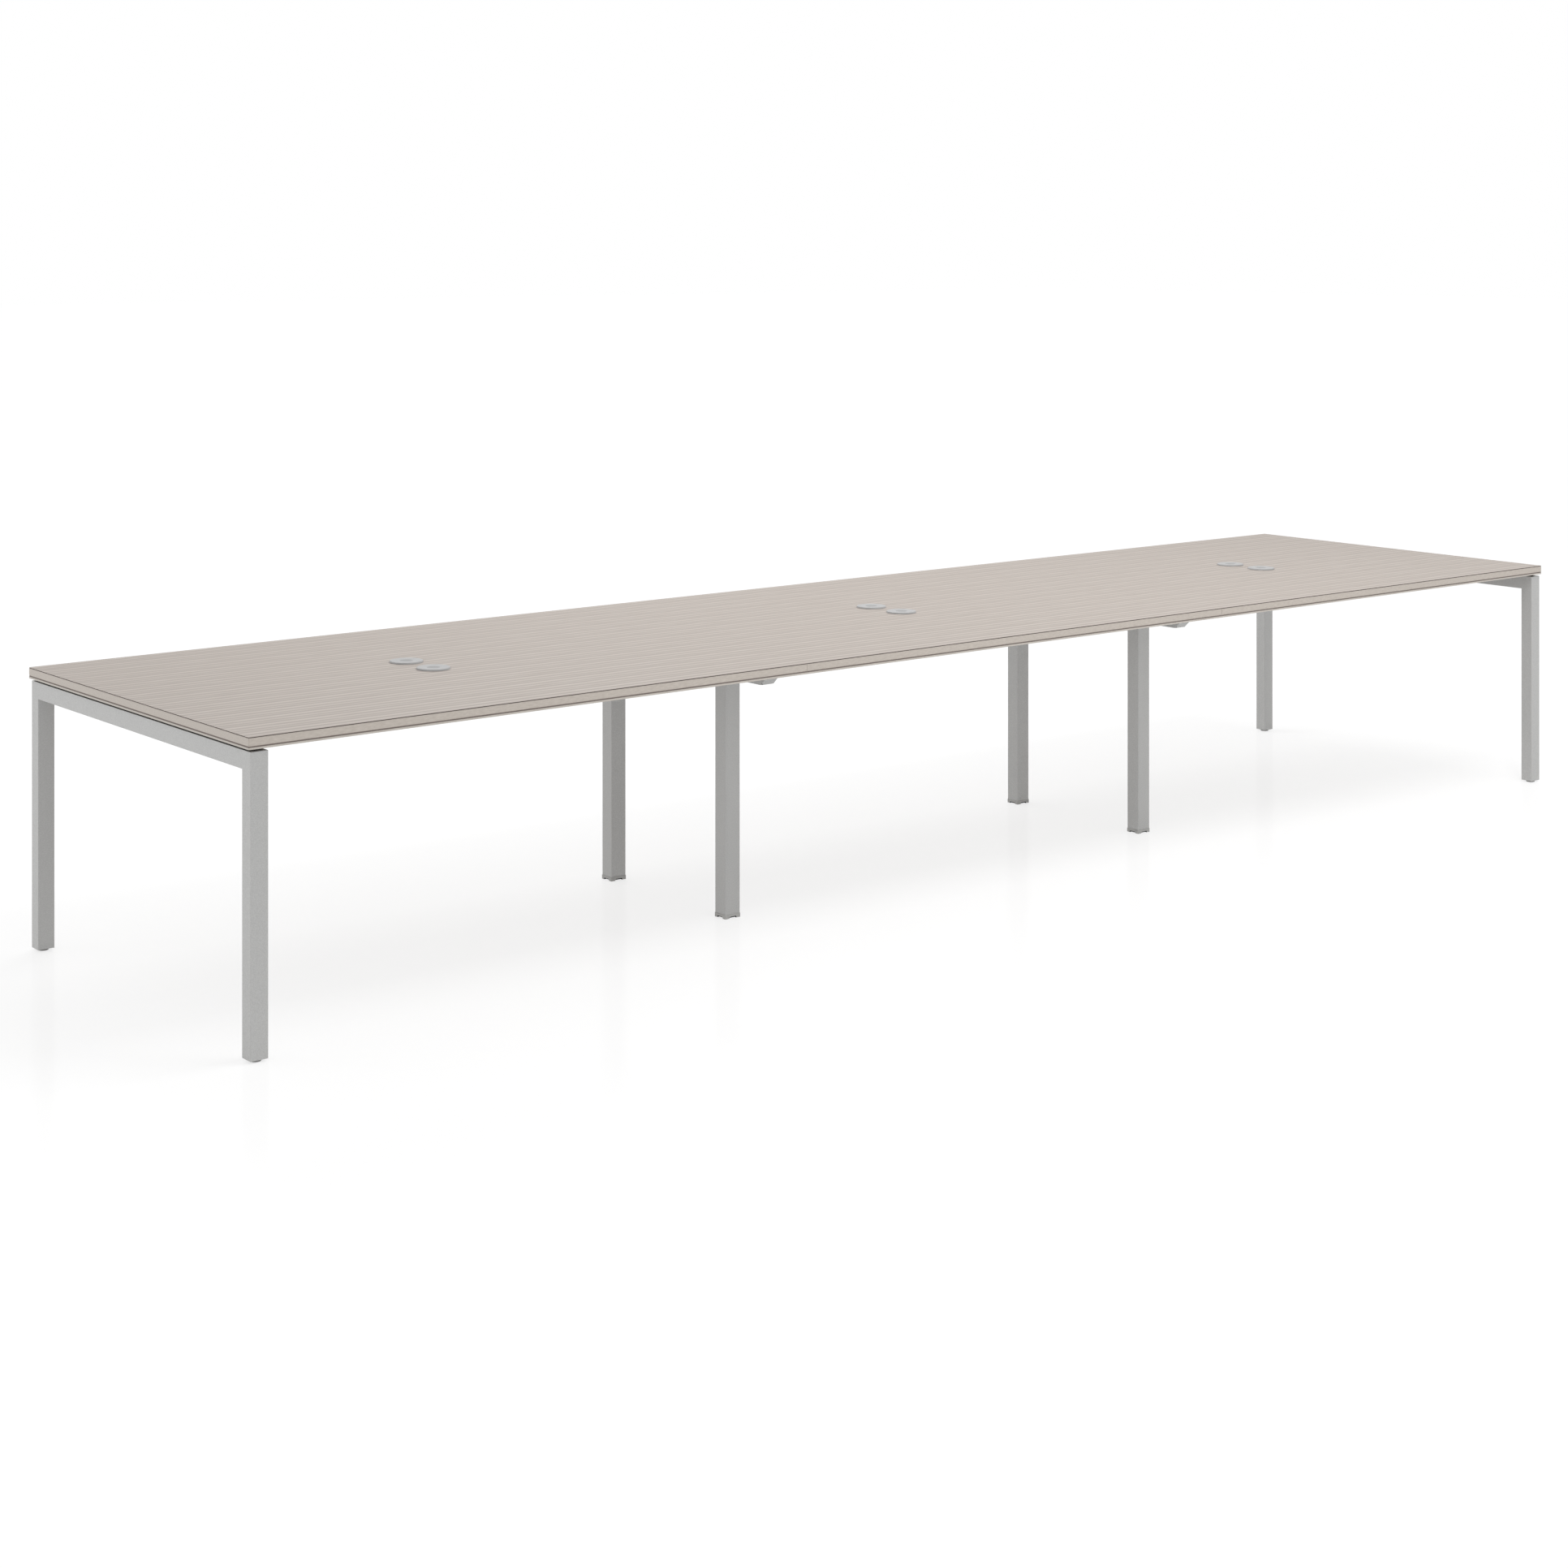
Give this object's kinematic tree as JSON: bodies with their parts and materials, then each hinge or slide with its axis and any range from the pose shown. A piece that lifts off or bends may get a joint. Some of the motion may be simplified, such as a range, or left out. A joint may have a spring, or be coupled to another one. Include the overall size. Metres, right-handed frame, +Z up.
{
  "type": "coworking bench desk",
  "caption": "Long shared bench desk: laminate desktops on square steel tube legs, with round cable grommets along the middle and levelling feet.",
  "frame": {"origin": "on the floor, under the middle of the desk", "axes": "+X along the desk to the right seen from the front, +Y from the front long edge to the rear one, +Z up"},
  "size_m": [4.8, 1.2, 0.7287],
  "materials": {
    "laminate": "fine-grained wood-effect laminate, matt",
    "powder_coat": "silver-grey fine-textured powder coat",
    "cap_plastic": "pale grey, satin",
    "sleeve_plastic": "grey, matt",
    "foot_plastic": "grey, matt",
    "shoe_plastic": "grey, matt",
    "plug_plastic": "black, matt",
    "spacer_plastic": "black, matt"
  },
  "bodies": {
    "desk": {"arm_cap_left_front": "powder_coat", "arm_cap_left_rear": "powder_coat", "arm_cap_right_front": "powder_coat", "arm_cap_right_rear": "powder_coat", "beam_left_front": "powder_coat", "beam_left_rear": "powder_coat", "beam_middle_front": "powder_coat", "beam_middle_rear": "powder_coat", "beam_right_front": "powder_coat", "beam_right_rear": "powder_coat", "desktop_left": "laminate", "desktop_middle": "laminate", "desktop_right": "laminate", "end_leg_left_front": "powder_coat", "end_leg_left_rear": "powder_coat", "end_leg_right_front": "powder_coat", "end_leg_right_rear": "powder_coat", "end_rail_left": "powder_coat", "end_rail_right": "powder_coat", "end_spacer_left": "spacer_plastic", "end_spacer_right": "spacer_plastic", "grommet_sleeve_left_front": "sleeve_plastic", "grommet_sleeve_left_rear": "sleeve_plastic", "grommet_sleeve_middle_front": "sleeve_plastic", "grommet_sleeve_middle_rear": "sleeve_plastic", "grommet_sleeve_right_front": "sleeve_plastic", "grommet_sleeve_right_rear": "sleeve_plastic", "leg_plug_left_front": "plug_plastic", "leg_plug_left_rear": "plug_plastic", "leg_plug_right_front": "plug_plastic", "leg_plug_right_rear": "plug_plastic", "mid_arm_left": "powder_coat", "mid_arm_right": "powder_coat", "mid_leg_left_front": "powder_coat", "mid_leg_left_rear": "powder_coat", "mid_leg_right_front": "powder_coat", "mid_leg_right_rear": "powder_coat", "mid_shoe_left_front": "shoe_plastic", "mid_shoe_left_rear": "shoe_plastic", "mid_shoe_right_front": "shoe_plastic", "mid_shoe_right_rear": "shoe_plastic", "mid_spacer_left": "spacer_plastic", "mid_spacer_right": "spacer_plastic"},
    "levelling_foot_left_front": {"levelling_foot_left_front": "foot_plastic"},
    "levelling_foot_left_rear": {"levelling_foot_left_rear": "foot_plastic"},
    "levelling_foot_right_front": {"levelling_foot_right_front": "foot_plastic"},
    "levelling_foot_right_rear": {"levelling_foot_right_rear": "foot_plastic"},
    "grommet_cap_left_front": {"grommet_cap_left_front": "cap_plastic"},
    "grommet_cap_left_rear": {"grommet_cap_left_rear": "cap_plastic"},
    "grommet_cap_middle_front": {"grommet_cap_middle_front": "cap_plastic"},
    "grommet_cap_middle_rear": {"grommet_cap_middle_rear": "cap_plastic"},
    "grommet_cap_right_front": {"grommet_cap_right_front": "cap_plastic"},
    "grommet_cap_right_rear": {"grommet_cap_right_rear": "cap_plastic"}
  },
  "joints": [
    {"name": "levelling_foot_left_front_screw", "type": "slide", "parent": "desk", "child": "levelling_foot_left_front", "axis": [0, 0, -1], "range_m": [0, 0.012]},
    {"name": "levelling_foot_left_rear_screw", "type": "slide", "parent": "desk", "child": "levelling_foot_left_rear", "axis": [0, 0, -1], "range_m": [0, 0.012]},
    {"name": "levelling_foot_right_front_screw", "type": "slide", "parent": "desk", "child": "levelling_foot_right_front", "axis": [0, 0, -1], "range_m": [0, 0.012]},
    {"name": "levelling_foot_right_rear_screw", "type": "slide", "parent": "desk", "child": "levelling_foot_right_rear", "axis": [0, 0, -1], "range_m": [0, 0.012]},
    {"name": "grommet_cap_left_front_lift", "type": "slide", "parent": "desk", "child": "grommet_cap_left_front", "axis": [0, 0, 1], "range_m": [0, 0.05]},
    {"name": "grommet_cap_left_rear_lift", "type": "slide", "parent": "desk", "child": "grommet_cap_left_rear", "axis": [0, 0, 1], "range_m": [0, 0.05]},
    {"name": "grommet_cap_middle_front_lift", "type": "slide", "parent": "desk", "child": "grommet_cap_middle_front", "axis": [0, 0, 1], "range_m": [0, 0.05]},
    {"name": "grommet_cap_middle_rear_lift", "type": "slide", "parent": "desk", "child": "grommet_cap_middle_rear", "axis": [0, 0, 1], "range_m": [0, 0.05]},
    {"name": "grommet_cap_right_front_lift", "type": "slide", "parent": "desk", "child": "grommet_cap_right_front", "axis": [0, 0, 1], "range_m": [0, 0.05]},
    {"name": "grommet_cap_right_rear_lift", "type": "slide", "parent": "desk", "child": "grommet_cap_right_rear", "axis": [0, 0, 1], "range_m": [0, 0.05]}
  ]
}
